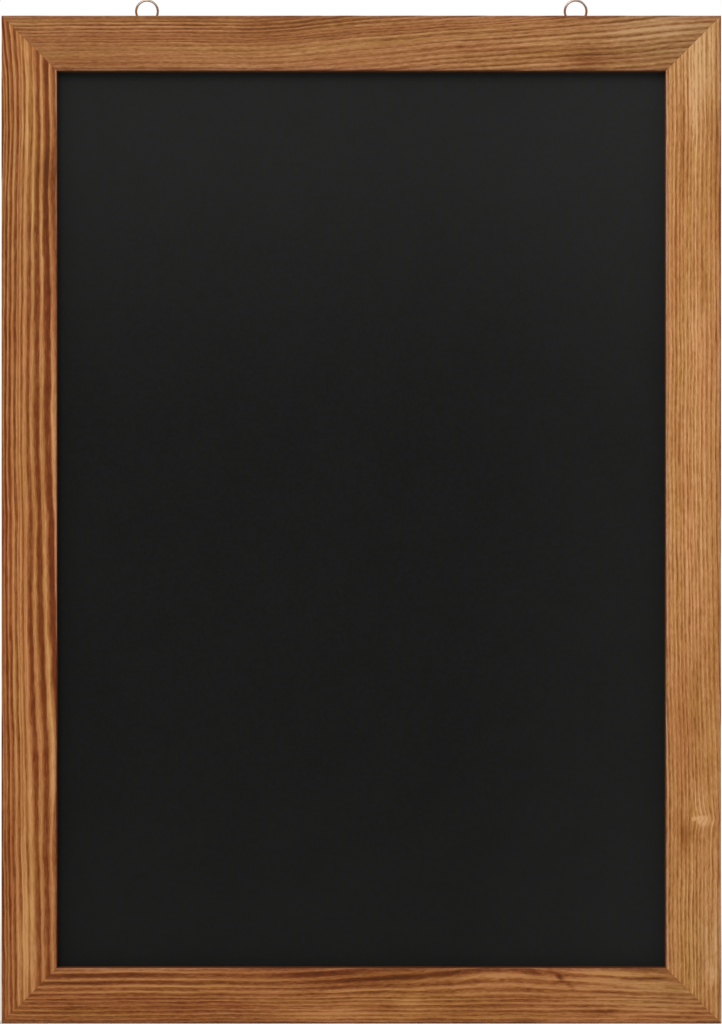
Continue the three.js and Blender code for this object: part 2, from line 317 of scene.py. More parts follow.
def wander(at, seed, longest, size):
    """A smooth unevenness along a side: four waves of chosen lengths and random phases."""
    random = np.random.default_rng(seed)
    total = np.zeros_like(at)
    for i in range(4):
        wave = longest / 1.7**i
        total += np.sin(2 * np.pi * (at / wave + random.random())) / (i + 1)
    return total * size / 2


def even_rings(first, last, pitch, half_width, tone, seed):
    """Rings of about even spacing, each as (place, half width, depth of tone)."""
    random = np.random.default_rng(seed)
    rings = []
    place = first
    while place < last:
        vary = random.uniform(0.6, 1.25)
        rings.append((place, half_width * vary, tone * random.uniform(0.55, 1.2)))
        place += pitch * random.uniform(0.72, 1.28)
    return rings


def fading(distance, reach):
    """1 at no distance, falling smoothly to almost 0 at twice the reach."""
    return np.exp(-((distance / reach) ** 2))


def oval(along, across, centre_along, centre_across, half_length, half_width, lean=0):
    """1 in the middle of a soft oval patch of a face, and 0 well outside it."""
    from_middle = along - centre_along
    rise = across - centre_across - lean * from_middle
    return fading(from_middle, half_length) * fading(rise, half_width)


def ovals(along, across, patches):
    """The sum of soft oval patches. The last number of each is its tone."""
    return sum(tone * oval(along, across, *patch) for *patch, tone in patches)


# Of each side:
# - drift: how far in (above 0) or out its rings lie from their own places, at stations along it,
#   for its outer edge, its middle and its inner edge
# - rings: each as place across, half width and tone
# - patches: darker (above 0) or paler, each as place along and across, half length, half width,
#   lean and tone
# - streaks: the same without a lean, because they follow the rings
# - faded: patches where light has bleached the stain
# - calm: patches without a lean, where the rings are fainter (above 0) or stronger
# - beading: how far the rings are broken into dashes
# - flecks, banding: how uneven the wood is in short flecks and in long bands
# - contrast: how dark the rings are
# - stain: the colours of the hard rings, of the wood between them and of the palest streaks
figures = {
    "left_stile": {
        "drift": {
            0: (-4.5, -1.5, -0.3), 50: (0, 0, 0.3), 90: (0, -0.5, 1.5), 130: (-0.8, -1, 1),
            180: (-2, -2, 2.2), 260: (-2, -2.4, 3.1), 345: (-2, -1.3, 3.9),
            440: (-1, -0.6, 6.5), 520: (-0.5, 1, 8.8), 580: (0, 2.5, 8), 700: (1, 3.5, 9),
        },
        "rings": [
            (1, 0.8, 0.8), (3, 0.4, 0.4), (5, 0.8, 0.9), (8, 0.65, 0.75), (12, 0.8, 0.85),
            (14, 0.35, 0.3), (16, 0.7, 0.65), (21, 1.2, 0.7), (25.5, 1.3, 0.85), (31.3, 1.5, 1.0),
            (36.5, 0.9, 0.6),
        ],
        "patches": [
            (70, 20, 60, 4, 0, -0.5), (112, 31, 17, 7, 0, 0.5), (112, 36, 16, 2.5, 0, 0.4),
            (395, 35, 40, 3, 0, 0.2), (408, 5.5, 14, 1.6, 0, -0.5), (610, 18, 70, 6, 0, -0.7),
            (205, 8, 60, 5, 0, 0.2), (470, 35, 70, 3, 0, -0.4), (300, 5, 300, 4, 0, 0.3),
            (145, 33.5, 70, 4, 0, 0.5), (395, 20, 40, 5, 0, 0.2), (345, 27, 40, 4, 0, 0.3),
            (430, 13, 90, 4, 0, -0.3), (170, 20, 190, 60, 0, -0.2), (655, 16, 50, 5, 0, -0.5),
        ],
        "streaks": [
            (430, 31.3, 120, 1.3, 0.4), (430, 25.5, 90, 1.1, 0.4), (480, 21.1, 180, 1.0, 0.4),
            (440, 28.5, 160, 0.8, -0.6), (470, 23.3, 160, 0.6, -0.5), (450, 18.6, 160, 0.7, -0.4),
            (140, 28.4, 60, 0.8, -0.4), (400, 34.2, 160, 0.9, -0.6), (60, 27.8, 50, 0.6, -0.4),
            (400, 10, 200, 0.6, -0.5), (300, 6.4, 200, 0.5, -0.4), (60, 18, 60, 2, -0.3),
        ],
        "faded": [(140, 20, 140, 60, 0, 0.6)],
        "calm": [(140, 18, 170, 40, -0.25)],
        "beading": 0.15,
        "flecks": 0.15,
        "banding": 0.1,
        "contrast": 0.70,
        "stain": ((0.164, 0.0360, 0.0076), (0.360, 0.132, 0.037), (0.570, 0.272, 0.103)),
    },
    "right_stile": {
        "drift": {
            0: (0, 0, 0), 175: (0.4, 0.2, 0), 350: (0, 0, 0), 425: (-1.6, -1.4, -1),
            525: (-4, -3.5, -3), 560: (-5, -4.4, -3.8), 620: (-4.6, -4, -3.4),
            700: (-4.2, -4, -3.4),
        },
        "rings": even_rings(0.6, 48, 2.7, 0.6, 0.85, 21),
        "patches": [
            (30, 14, 40, 11, 0, -0.55), (60, 19, 50, 5, 0, -0.35), (95, 26.5, 28, 6, 0, 0.3),
            (115, 3, 50, 4, 0, 0.45), (410, 4, 80, 4, 0, 0.35), (130, 12, 40, 4, 0, 0.25),
            (230, 19, 90, 6, 0, -0.5), (400, 18, 60, 8, 0, -0.25), (610, 20, 60, 8, 0, -0.3),
            (545, 15, 14, 8, 0, -0.35), (549, 20.3, 6, 0.9, 0, 0.9), (567, 20, 7, 1.0, 0, 0.8),
            (188, 12.5, 13, 2.6, 0, 0.55), (84, 2, 20, 3, 0, 0.4),
            (150, 1.2, 22, 1.2, 0, 0.4), (125, 1.2, 8, 1.2, 0, 0.4), (72, 9.5, 9, 2, 0, 0.35),
            (570, 26, 9, 3.4, 0, 0.7), (640, 4.5, 13, 1.8, 0, -0.9), (665, 5.5, 7, 4, 0, -0.8),
            (675, 1, 14, 1.3, 0, 0.7), (500, 26, 40, 8, 0, 0.25), (350, 20, 60, 14, 0, -0.2),
            (630, 24, 45, 9, 0, 0.15), (575, 26, 22, 7, 0, 0.25),
        ],
        "streaks": [
            (50, 17.6, 65, 1.2, -1.0), (45, 21.6, 50, 0.9, -0.8), (60, 24.7, 60, 0.6, -0.6),
            (65, 29.4, 60, 0.6, -0.6), (70, 32.4, 60, 0.6, -0.6), (55, 13.2, 50, 0.6, -0.5),
            (80, 27.2, 45, 0.9, 0.6), (75, 23.1, 45, 0.6, 0.6), (130, 31, 60, 0.6, 0.4),
            (260, 12, 70, 0.8, -0.4), (310, 25, 90, 0.7, -0.4), (230, 18, 110, 0.8, -0.5),
            (450, 16, 60, 0.7, 0.4), (640, 14, 50, 0.8, -0.5), (640, 10, 40, 0.7, -0.4),
        ],
        "faded": [(20, 14, 60, 20, 0, 0.9), (650, 8, 45, 12, 0, 0.7)],
        "beading": 0.4,
        "flecks": 0.6,
        "banding": 0.15,
        "contrast": 0.72,
        "stain": ((0.260, 0.085, 0.0190), (0.434, 0.188, 0.058), (0.650, 0.352, 0.163)),
    },
    "top_rail": {
        "drift": {
            0: (0.3, 0, 0), 165: (0, 0, 0), 200: (-1, -1, -0.7), 225: (-4.3, -3.4, -2.5),
            250: (-7, -5.8, -4.5), 275: (-8.3, -7.6, -6.5), 300: (-10, -10.4, -9.5),
            333: (-12, -13, -11.5), 375: (-15.5, -15.3, -13.5), 420: (-19.3, -17.3, -15.5),
            450: (-23, -20.5, -17.5), 480: (-25, -23, -19.5), 500: (-26, -24, -20.5),
        },
        "rings": [
            (2.2, 0.6, 0.4), (4.4, 0.5, 0.5), (6.9, 0.7, 0.8), (9.8, 0.7, 0.85), (12.2, 0.5, 0.8),
            (15, 0.6, 0.4), (17.2, 0.5, 0.6), (18.6, 0.5, 0.8), (20.9, 0.6, 0.7), (24.6, 0.7, 0.85),
            (27, 0.4, 0.4), (29.5, 0.7, 0.85), (33.5, 0.7, 0.85), (37.2, 0.7, 0.8),
            (40.5, 0.7, 0.9), (43.8, 0.7, 0.9), (47, 0.6, 0.8), (50, 0.6, 0.8), (53, 0.6, 0.8),
            (56, 0.6, 0.7), (59, 0.6, 0.7), (62, 0.6, 0.7),
        ],
        "patches": [
            (100, 15.5, 110, 3, 0, 0.45), (180, 25, 70, 6, 0, 0.2), (408, 31, 14, 7, 0, 0.6),
            (455, 9, 30, 8, -0.1, -0.8), (395, 1, 26, 1.2, 0, 0.6), (175, 15, 30, 5, 0, 0.3),
            (330, 24, 60, 4, 0, 0.15), (70, 34, 90, 5, 0, 0.5), (130, 4, 120, 7, 0, 0.5),
            (190, 11, 60, 5, 0, 0.3), (50, 24, 60, 9, 0, 0.4), (350, 19, 40, 5, 0, -0.3),
            # The first patch on the next line is painted shade along the inner edge, whose rounding
            # faces down.
            (250, 38.6, 400, 1.5, 0, 0.8), (405, 27, 55, 6, 0, 0.3), (320, 14, 35, 5, 0, 0.3),
            (205, 6, 60, 8, 0, 0.35),
        ],
        "streaks": [
            (140, 8.3, 130, 0.7, -0.7), (140, 5.6, 120, 0.6, -0.5), (180, 11.0, 110, 0.6, -0.7),
            (433, 24.8, 14, 0.9, 1.2), (240, 13.6, 60, 0.6, -0.6), (300, 22.6, 70, 0.7, -0.5),
            (340, 26.8, 70, 0.7, -0.6), (420, 31.5, 50, 0.8, -0.6), (440, 36, 50, 0.8, -0.6),
        ],
        "faded": [(465, 14, 50, 24, 0, 1.2)],
        "calm": [(70, 29, 190, 10, 0.75)],
        "beading": 0.35,
        "flecks": 0.75,
        "banding": 0.25,
        "contrast": 0.62,
        "stain": ((0.185, 0.059, 0.0155), (0.328, 0.138, 0.048), (0.505, 0.255, 0.115)),
    },
    "bottom_rail": {
        "drift": {
            0: (1, 0, 0), 83: (0, 0, 0), 160: (2, 0.3, 0), 200: (2, 0, 0.3), 250: (1, 0.5, 3.5),
            300: (1.5, 1.2, 7), 335: (1.2, 2, 10.3), 365: (1, 2, 9), 400: (0.5, 1.5, 6.3),
            450: (0.5, 1, 4), 500: (0, 0, 3),
        },
        "rings": [
            (1.5, 0.8, 0.6), (4.6, 0.7, 0.7), (7.5, 0.9, 0.9), (11, 1.0, 0.9), (14.4, 0.8, 0.75),
            (16.9, 0.7, 0.75), (20, 0.8, 0.8), (24, 1.0, 0.85), (28.3, 1.2, 1.0), (33.4, 1.4, 1.0),
            (39, 1.2, 0.8), (43, 1.0, 0.8),
        ],
        "patches": [
            (60, 12, 120, 12, 0, 0.15), (440, 18, 80, 30, 0, -0.35), (225, 9, 42, 9, 0, -0.7),
            (283, 13, 9, 6, 0, -0.6), (222, 34.5, 30, 3, 0, 1.05), (262, 30.5, 42, 3.2, 0.07, 1.1),
            (300, 3.5, 13, 1.5, 0, 0.7), (362, 1.2, 13, 1.4, 0, 0.8),
            (371, 34.5, 6, 3.2, -0.4, 0.6), (388, 32, 9, 1.2, -0.87, 1.9),
            (418, 7.3, 9, 2.2, 0, 1.0), (450, 15, 28, 10, 0, -0.4), (425, 27, 30, 4, 0, -1.1),
            (415, 34.5, 30, 2.8, 0, -1.2), (452, 31.5, 18, 1.8, 0.05, 0.9),
            (345, 33, 18, 5, 0, -0.7), (395, 4, 40, 3, 0, -0.5), (260, 4, 50, 4, 0, -0.3),
            (70, 33.4, 36, 1.8, 0, 0.5), (80, 28.2, 35, 1.4, 0, 0.5), (100, 37.8, 75, 1.8, 0, -0.8),
            (320, 35.5, 38, 3, 0, 0.5), (300, 9, 32, 6, 0, -0.3), (445, 6, 24, 5, 0, -0.35),
        ],
        "streaks": [
            (75, 33.4, 45, 1.5, 0.4), (70, 28.3, 45, 1.2, 0.4), (100, 30.9, 90, 1.0, -0.6),
            (100, 25.9, 100, 0.9, -0.8), (90, 21.9, 80, 0.8, -0.6), (330, 26, 60, 0.9, -0.6),
            (340, 22.1, 70, 0.8, -0.6), (340, 18.5, 70, 0.6, -0.5), (360, 12.8, 70, 0.7, -0.6),
            (220, 22.2, 60, 0.8, -0.5), (400, 9.4, 60, 0.7, -0.6),
        ],
        "faded": [(465, 24, 45, 18, 0, 0.9)],
        "beading": 0.25,
        "flecks": 0.75,
        "banding": 0.6,
        "contrast": 0.59,
        "stain": ((0.162, 0.0415, 0.0105), (0.328, 0.117, 0.0330), (0.500, 0.222, 0.080)),
    },
}

# A spike knot in the right stile: a pale wedge that points in from the outer edge. The rings turn
# outwards on reaching it, more sharply from above.
spike_along = 558.0
spike_start = 5.0
spike_neck = 17.5
spike_middle = (spike_start + spike_neck) / 2
spike_end = 21.3
spike_half_width = 3.6
spike_neck_half = 1.4
spike_pull = 3.6  # how far it draws the rings out
spike_reach = (7.0, 3.5)  # along the side, above it and below
feather_reach = (9.0, 3.5)  # of its paleness


def spike_shape(along, across):
    """1 within the pale wedge and 0 well outside it, with a softer lower edge."""
    swell = np.clip((spike_neck - across) / 2.5, 0, 1) * np.clip((across - 2) / 9, 0, 1)
    half_width = spike_neck_half + (spike_half_width - spike_neck_half) * swell
    past_edge = np.abs(along - spike_along - 1.2 * swell) - half_width
    softness = np.where((along > spike_along) & (across < spike_neck), 2.6, 0.9)
    inside = np.clip(0.5 - past_edge / softness, 0, 1)
    return inside * np.clip((across - spike_start) / 6, 0, 1) * np.clip(spike_end - across, 0, 1)


def spike_feather(along, across):
    """How far the wedge's paleness runs up and down from it, in the wood between the rings."""
    from_middle = along - spike_along
    reach = np.where(from_middle < 0, *feather_reach)
    past_edge = np.maximum(np.abs(from_middle) - spike_half_width, 0)
    return np.exp(-past_edge / reach - ((across - spike_middle) / 6.5) ** 4)


def spike_bend(along, across):
    """How far the rings are drawn out near the wedge."""
    from_middle = along - spike_along
    reach = np.where(from_middle < 0, *spike_reach)
    return spike_pull * np.exp(-np.abs(from_middle) / reach) * fading(across - spike_middle, 8)


def ring_profile(offset):
    """How dark a ring is by the distance from its middle in half widths."""
    rise = np.clip((offset - ring_start) / (ring_full - ring_start), 0, 1)
    fall = np.clip((offset - ring_turn) / (ring_end - ring_turn), 0, 1)
    return rise * rise * (3 - 2 * rise) * (1 - fall * fall * (3 - 2 * fall))


def grain_of(name, along, across, deep, seed):
    """The grain at points of a side: place in it, ring count, ring share and tone, and patches."""
    figure = figures[name]
    slip = drifted(figure["drift"], along, np.clip(across, 0, face_width))
    slip = slip + wander(along, seed, 150, 0.5) + wander(along + 9 * across, seed + 1, 61, 0.25)
    if name == "right_stile":
        slip = slip - spike_bend(along, across)
    place = across - slip + ring_lean * deep
    rings = sorted(figure["rings"])
    first, last = rings[0][0], rings[-1][0]
    below = even_rings(-16, first - 1.6, *common_ring, seed + 2)
    above = even_rings(last + 2.6, last + 26, *common_ring, seed + 3)
    places, half_widths, tones = np.array(below + rings + above).T
    count = np.interp(place, places, np.arange(len(places)))
    share = np.interp(place, places, half_widths / np.gradient(places))
    tone = np.interp(place, places, tones)
    tone = tone * (1 - ovals(along, across, figure.get("calm", [])))
    patches = ovals(along, across, figure["patches"])
    # Painted shade darkens the wood along the outer edge.
    patches = (patches + edge_shade * fading(across, edge_shade_width)) * fading(deep, patch_depth)
    streaks = ovals(along, place, figure["streaks"])
    offset = (np.mod(count + 0.5, 1) - 0.5) / share
    profile = ring_profile(offset)
    pale = np.zeros_like(along)
    if name == "right_stile":
        pale = spike_shape(along, across) * fading(deep, 6)
        feather = spike_feather(along, across) * (1 - pale) * (1 - profile) * fading(deep, 6)
        streaks = streaks - 0.6 * pale - 0.5 * feather
    # Painted sheen: the front's edges are made paler and greyer, as if catching the light.
    from_edge = np.minimum(np.maximum(across, 0), np.maximum(face_width - across, 0))
    edge_sheen = fading(from_edge, edge_sheen_width) * fading(deep, 3)
    faded = ovals(along, across, figure["faded"]) * fading(deep, 3)
    # Painted shade: the inner wall and the rebate are darkened as if in shadow.
    in_rebate = (deep > lip_depth - 0.1) & (deep < frame_depth - 0.1) & (across > 2 * back_radius)
    inner_wall = (across > face_width - 0.3) | in_rebate
    wall_shade = np.clip((deep - 0.5) / 0.6, 0, 1) * inner_wall
    ridge = np.clip(profile * tone, 0, 1) * (1 - pale)
    start = 400.0 * seed
    return {
        "grain": np.column_stack([along + start, place, deep]),
        "rings": np.column_stack([count + 40 * seed, share, tone * (1 - 0.9 * pale)]),
        "figure": np.column_stack([patches, streaks, wall_shade]),
        "bleach_and_sheen": np.column_stack([edge_sheen, faded, np.zeros_like(edge_sheen)]),
        "ridge": ridge,
    }


def row_places(length, knot=None):
    """Where the outline is repeated along the outer edge, closer by the mitres and round a knot."""
    places = list(np.linspace(0, length, round(length / row_spacing) + 1))
    for from_end in mitre_rows:
        places += [from_end, length - from_end]
    if knot is not None:
        first, last, spacing = knot_rows
        places += list(np.arange(knot + first, knot + last, spacing))
    return np.unique(np.round(places, 2))


def stained_pine(name, figure):
    """Brushed, stained and thinly varnished pine. Each side has taken the stain in its own way."""
    pine = Finish(name)
    beading = figure["beading"]
    grain = pine.attribute("grain")
    count, share, ring_tone = pine.parts(pine.attribute("rings"))
    patch, streak, wall = pine.parts(pine.attribute("figure"))
    edge_sheen, faded, _ = pine.parts(pine.attribute("bleach_and_sheen"))
    deep = pine.parts(grain)[2]

    fibre = pine.noise(grain, (0.013, 0.8, 0.6), 3, 0.6)
    dashes = pine.noise(grain, (0.09, 1.4, 1.1), 2, 0.6)
    pores = pine.noise(grain, (0.10, 1.9, 1.5), 1)
    waver = pine.noise(grain, (0.03, 0.2, 0.15), 2)
    beads = pine.noise(grain, (0.11, 0.5, 0.4), 1)
    streaky = pine.noise(grain, (0.02, 0.4, 0.3), 2)
    broad = pine.noise(grain, (0.008, 0.10, 0.09), 2)
    cloud = pine.noise(grain, (0.035, 0.09, 0.08), 3, 0.6)
    hairs = pine.noise(grain, (0.16, 5.5, 4.5), 2, 0.6)
    flecks = pine.noise(grain, (0.24, 1.0, 0.8), 2, 0.6)

    # A ring is dark where the distance from its middle, in half widths, is small. Unbroken rings
    # also have smoother edges and a more even tone.
    wobble = min(1, 3 * beading)
    shift = pine.plus(pine.sway(fibre, 0.16 * wobble), pine.sway(waver, 0.24 * wobble))
    turn = pine.plus(pine.plus(count, shift), 0.5)
    offset = pine.calc("DIVIDE", pine.calc("SUBTRACT", pine.calc("FRACT", turn), 0.5), share)
    rise = pine.ramp(offset, ring_start, ring_full)
    fall = pine.ramp(offset, ring_turn, ring_end, 1.0, 0.0)
    ring = pine.times(pine.times(rise, fall), ring_tone)
    cloudy = 0.15 * wobble
    ring = pine.times(ring, pine.ramp(cloud, 0.3, 0.65, 1 + cloudy, 1 - cloudy))
    ring = pine.times(ring, pine.ramp(beads, 0.35, 0.6, 1 + beading / 3, 1 - beading))

    # The tone is 0 in the darkest rings, 0.5 in the common wood and 1 in the palest streaks.
    tone = pine.calc("MULTIPLY_ADD", ring, -figure["contrast"], soft_tone)
    unevenness = (
        (fibre, 0.9), (dashes, 0.45), (cloud, 0.26), (hairs, 0.9),
        (flecks, figure["flecks"]), (streaky, figure["banding"]),
    )
    for noise, amount in unevenness:
        tone = pine.plus(tone, pine.sway(noise, amount))
    uneven_patch = pine.times(patch, pine.ramp(streaky, 0.3, 0.65, 0.55, 1.35))
    tone = pine.calc("MULTIPLY_ADD", pine.plus(uneven_patch, streak), -patch_strength, tone)
    pore = pine.ramp(pores, 0.62, 0.74)
    tone = pine.calc("MULTIPLY_ADD", pore, -0.16, tone)
    hard, common, palest = figure["stain"]
    deepest = tuple(0.6 * part for part in hard)
    colour = pine.stops(tone, (0, hard), (0.5, common), (1, palest))
    deeper = pine.ramp(tone, -0.02, -0.45)
    colour = pine.blend(deeper, colour, (*deepest, 1))
    tint = pine.stops(broad, (0.3, (0.99, 1.05, 0.92)), (0.5, (1, 1, 1)), (0.7, (1.01, 0.95, 0.96)))
    colour = pine.blend(1.0, colour, tint, "MULTIPLY")

    # Light has bleached the stain in places, and a painted sheen makes the front's edges paler and
    # greyer.
    colour = pine.blend(faded, colour, (0.94, 1.07, 1.12, 1), "MULTIPLY")
    colour = pine.blend(edge_sheen, colour, (0.95, 1.05, 1.55, 1), "MULTIPLY")

    # Painted shade darkens the inner wall and the rebate, and the planed back took less of the
    # stain.
    colour = pine.blend(pine.times(wall, 0.85), colour, (*deepest, 1))
    back = pine.ramp(deep, frame_depth - 0.9, frame_depth - 0.2)
    dry = tuple(1.1 * part for part in palest)
    colour = pine.blend(pine.times(back, 0.3), colour, (*dry, 1))

    roughness = pine.calc("MULTIPLY_ADD", pine.add("Clamp", [ring]), -0.12, 0.60)
    roughness = pine.plus(roughness, pine.sway(fibre, 0.2))
    roughness = pine.calc("MULTIPLY_ADD", back, 0.12, roughness)
    height = pine.times(ring, 0.5)
    for relief, amount in ((dashes, 0.35), (fibre, 0.4), (hairs, 0.15), (pore, -0.5)):
        height = pine.calc("MULTIPLY_ADD", relief, amount, height)
    return pine.surface(
        colour, roughness, pine.bump(height, 0.14 * mm, 0.8), Specular_IOR_Level=0.07
    )


def piece_from(name, points, faces, material):
    """A new object of the scene from points, in metres, and faces, with its faces pointing out."""
    mesh = bpy.data.meshes.new(name)
    mesh.from_pydata(points, [], faces)
    work = bmesh.new()
    work.from_mesh(mesh)
    bmesh.ops.recalc_face_normals(work, faces=work.faces)
    work.to_mesh(mesh)
    work.free()
    mesh.materials.append(material)
    piece = bpy.data.objects.new(name, mesh)
    scene.collection.objects.link(piece)
    return piece


def tube_faces(rows, columns):
    """Faces over both ends of a tube and between its rows of points, each a closed outline."""
    faces = [tuple(range(columns)), tuple(range((rows - 1) * columns, rows * columns))]
    for first in range(0, (rows - 1) * columns, columns):
        for j in range(columns):
            k = (j + 1) % columns
            faces.append((first + j, first + k, first + columns + k, first + columns + j))
    return faces


def smooth(piece, angle=32):
    """Shades a piece smooth, apart from edges sharper than an angle in degrees."""
    piece.data.shade_smooth()
    piece.data.set_sharp_from_angle(angle=math.radians(angle))


def frame_side(name, start, along_axis, inward_axis, length, seed):
    """One side: the outline repeated along it, with its ends on the mitres and its surface brushed
    and eased down.
    """
    outline = moulding_outline()
    tangent = np.roll(outline, -1, axis=0) - np.roll(outline, 1, axis=0)
    outward = np.column_stack([tangent[:, 1], -tangent[:, 0]])
    outward /= np.linalg.norm(outward, axis=1)[:, None]
    places = row_places(length, spike_along if name == "right_stile" else None)
    rows, columns = len(places), len(outline)
    across = np.tile(outline[:, 0], rows)
    deep = np.tile(outline[:, 1], rows)
    share = np.repeat(places / length, columns)
    reach = across + joint_gap * math.sqrt(2)
    along = reach + (length - 2 * reach) * share
    grain = grain_of(name, along, across, deep, seed)

    # The brushed faces are the front and the outer edge. The sunk part of them is soft wood.
    brushed = (across < face_width - 0.5) & (deep < frame_depth - back_radius)
    brushed &= (across < outer_radius) | (deep < inner_radius)
    drop = np.where(brushed, brushed_depth * (1 - grain["ridge"]), 0)
    from_end = np.repeat(places, columns)
    from_mitre = np.minimum(from_end, length - from_end)
    drop = drop + brushed * mitre_easing * np.clip(1 - from_mitre / easing_width, 0, 1)
    corner = fading(across - corner_wear_place, corner_wear_reach)
    corner = corner * fading(deep - corner_wear_place, corner_wear_reach)
    drop = drop + corner * np.clip(wander(along, seed + 5, 47, corner_wear), 0, 1)
    across_worn = across - np.tile(outward[:, 0], rows) * drop
    deep_worn = deep - np.tile(outward[:, 1], rows) * drop

    points = np.array((start[0], front_y, start[1])) + mm * (
        np.outer(along, along_axis) + np.outer(across_worn, inward_axis)
        + np.outer(deep_worn, (0, 1, 0))
    )
    pine = stained_pine(f"{name}_pine", figures[name])
    side = piece_from(f"{name}_grained", points.tolist(), tube_faces(rows, columns), pine)
    for key in ("grain", "rings", "figure", "bleach_and_sheen"):
        layer = side.data.attributes.new(key, "FLOAT_VECTOR", "POINT")
        layer.data.foreach_set("vector", grain[key].astype(np.float32).ravel())
    smooth(side, 28)
    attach(side, "board")
    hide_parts(name)
    return side


board_width = (frame_right - frame_left) / mm
board_height = (frame_top - frame_bottom) / mm
right, up = (1, 0, 0), (0, 0, 1)
left, down = (-1, 0, 0), (0, 0, -1)
frame_side("top_rail", (frame_left, frame_top), right, down, board_width, 3)
frame_side("bottom_rail", (frame_left, frame_bottom), right, up, board_width, 6)
frame_side("left_stile", (frame_left, frame_top), down, right, board_height, 9)
frame_side("right_stile", (frame_right, frame_top), down, left, board_height, 12)


# The writing panel is a sheet of hardboard with matt black chalkboard paint on its front. Its back
# is bare and brown, and keeps the print of the wire screen that it was pressed on.
panel_low, panel_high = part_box("chalk_panel")
panel_edge = 0.35 * mm  # the sanded corners
panel_cell = 12 * mm  # of the grid of its faces
panel_warp = 0.08 * mm  # unevenness of the front
screen_pitch = 1.7 * mm  # of the wire screen's print
# Heights and places between which a painted sheen brightens the paint towards three of the edges.
sheen_to_top = (frame_top - 0.32, frame_top - 0.02)
sheen_to_bottom = (frame_top - 0.48, frame_bottom)
sheen_to_right = (0.04, frame_right)


def chalk_paint():
    """Rolled matt black paint, faintly clouded with old chalk powder, with a painted sheen that
    makes it paler towards the top, the bottom and the right.
    """
    paint = Finish("chalk_paint")
    place = paint.add("TexCoord", output="Object")
    cloud = paint.noise(place, (26, 26, 26), 3, 0.6)
    weave = paint.noise(place, (420, 420, 420), 2, 0.6)
    speck = paint.ramp(paint.noise(place, (900, 900, 900), 1), 0.80, 0.86)
    across, _, height = paint.parts(place)
    # Painted sheen: the paint turns paler towards the top, the bottom and the right. The cloud
    # added on top is chalk dust.
    dust_and_sheen = paint.ramp(height, *sheen_to_top)
    dust_and_sheen = paint.plus(dust_and_sheen, paint.ramp(height, *sheen_to_bottom, 0.0, 0.4))
    dust_and_sheen = paint.plus(dust_and_sheen, paint.ramp(across, *sheen_to_right, 0.0, 0.5))
    dust_and_sheen = paint.calc("MULTIPLY_ADD", cloud, 0.3, dust_and_sheen)
    bare, dusty_and_lit = (0.0058, 0.0060, 0.0056), (0.0168, 0.0168, 0.0165)
    colour = paint.stops(paint.times(dust_and_sheen, 0.5), (0.05, bare), (0.8, dusty_and_lit))
    colour = paint.blend(paint.times(speck, 0.35), colour, (0.06, 0.06, 0.057, 1))
    roughness = paint.ramp(weave, 0.3, 0.7, 0.84, 0.94)
    bumps = paint.calc("MULTIPLY_ADD", cloud, 0.4, weave)
    return paint.surface(colour, roughness, paint.bump(bumps, 0.05 * mm), Specular_IOR_Level=0.12)


def bare_hardboard():
    """Pressed brown fibre with the screen's print."""
    board = Finish("bare_hardboard")
    place = board.add("TexCoord", output="Object")
    east, _, north = board.parts(place)
    waves = [
        board.calc("SINE", board.times(axis, 2 * math.pi / screen_pitch)) for axis in (east, north)
    ]
    print_height = board.times(*waves)
    fibre = board.noise(place, (700, 700, 700), 3, 0.65)
    cloud = board.noise(place, (30, 30, 30), 3, 0.6)
    colour = board.blend(cloud, (0.115, 0.052, 0.022, 1), (0.185, 0.092, 0.042, 1))
    shade = board.ramp(fibre, 0.3, 0.7, 0.82, 1.18)
    shade = board.times(shade, board.ramp(print_height, -1, 1, 0.86, 1.06))
    colour = board.blend(1.0, colour, shade, "MULTIPLY")
    height = board.calc("MULTIPLY_ADD", fibre, 0.5, print_height)
    return board.surface(colour, 0.82, board.bump(height, 0.12 * mm), Specular_IOR_Level=0.2)


def panel_lines(low, high, cell):
    """Places of the grid lines across the panel, with one next to each edge."""
    count = round((high - low - 2 * panel_edge) / cell)
    return [low, *np.linspace(low + panel_edge, high - panel_edge, count + 1), high]


def writing_panel():
    """The sheet: a grid of faces on its front and its back, and a rim between them."""
    lines_x = panel_lines(panel_low.x, panel_high.x, panel_cell)
    lines_z = panel_lines(panel_low.z, panel_high.z, panel_cell)
    columns, rows = len(lines_x), len(lines_z)
    points = []
    for front in (True, False):
        for i, x in enumerate(lines_x):
            for j, z in enumerate(lines_z):
                border = i in (0, columns - 1) or j in (0, rows - 1)
                warp = math.sin(x * 23 + 1.1) * math.sin(z * 17 + 0.4) * 0.5 + 0.5
                inset = panel_edge if border else panel_warp * warp * front
                points.append((x, panel_low.y + inset if front else panel_high.y - inset, z))

    def at(i, j, back):
        return back * columns * rows + i * rows + j

    faces = []
    for back in (0, 1):
        for i in range(columns - 1):
            for j in range(rows - 1):
                around = ((i, j), (i + 1, j), (i + 1, j + 1), (i, j + 1))
                faces.append([at(*corner, back) for corner in around])
    back_start = len(faces) // 2
    rim = [(i, 0) for i in range(columns - 1)]
    rim += [(columns - 1, j) for j in range(rows - 1)]
    rim += [(i, rows - 1) for i in range(columns - 1, 0, -1)]
    rim += [(0, j) for j in range(rows - 1, 0, -1)]
    for here, after in zip(rim, rim[1:] + rim[:1]):
        faces.append((at(*here, 0), at(*after, 0), at(*after, 1), at(*here, 1)))
    panel = piece_from("writing_panel", points, faces, chalk_paint())
    panel.data.materials.append(bare_hardboard())
    for face in panel.data.polygons[back_start:]:
        face.material_index = 1
    smooth(panel)
    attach(panel, "board")
    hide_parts("chalk_panel")


writing_panel()


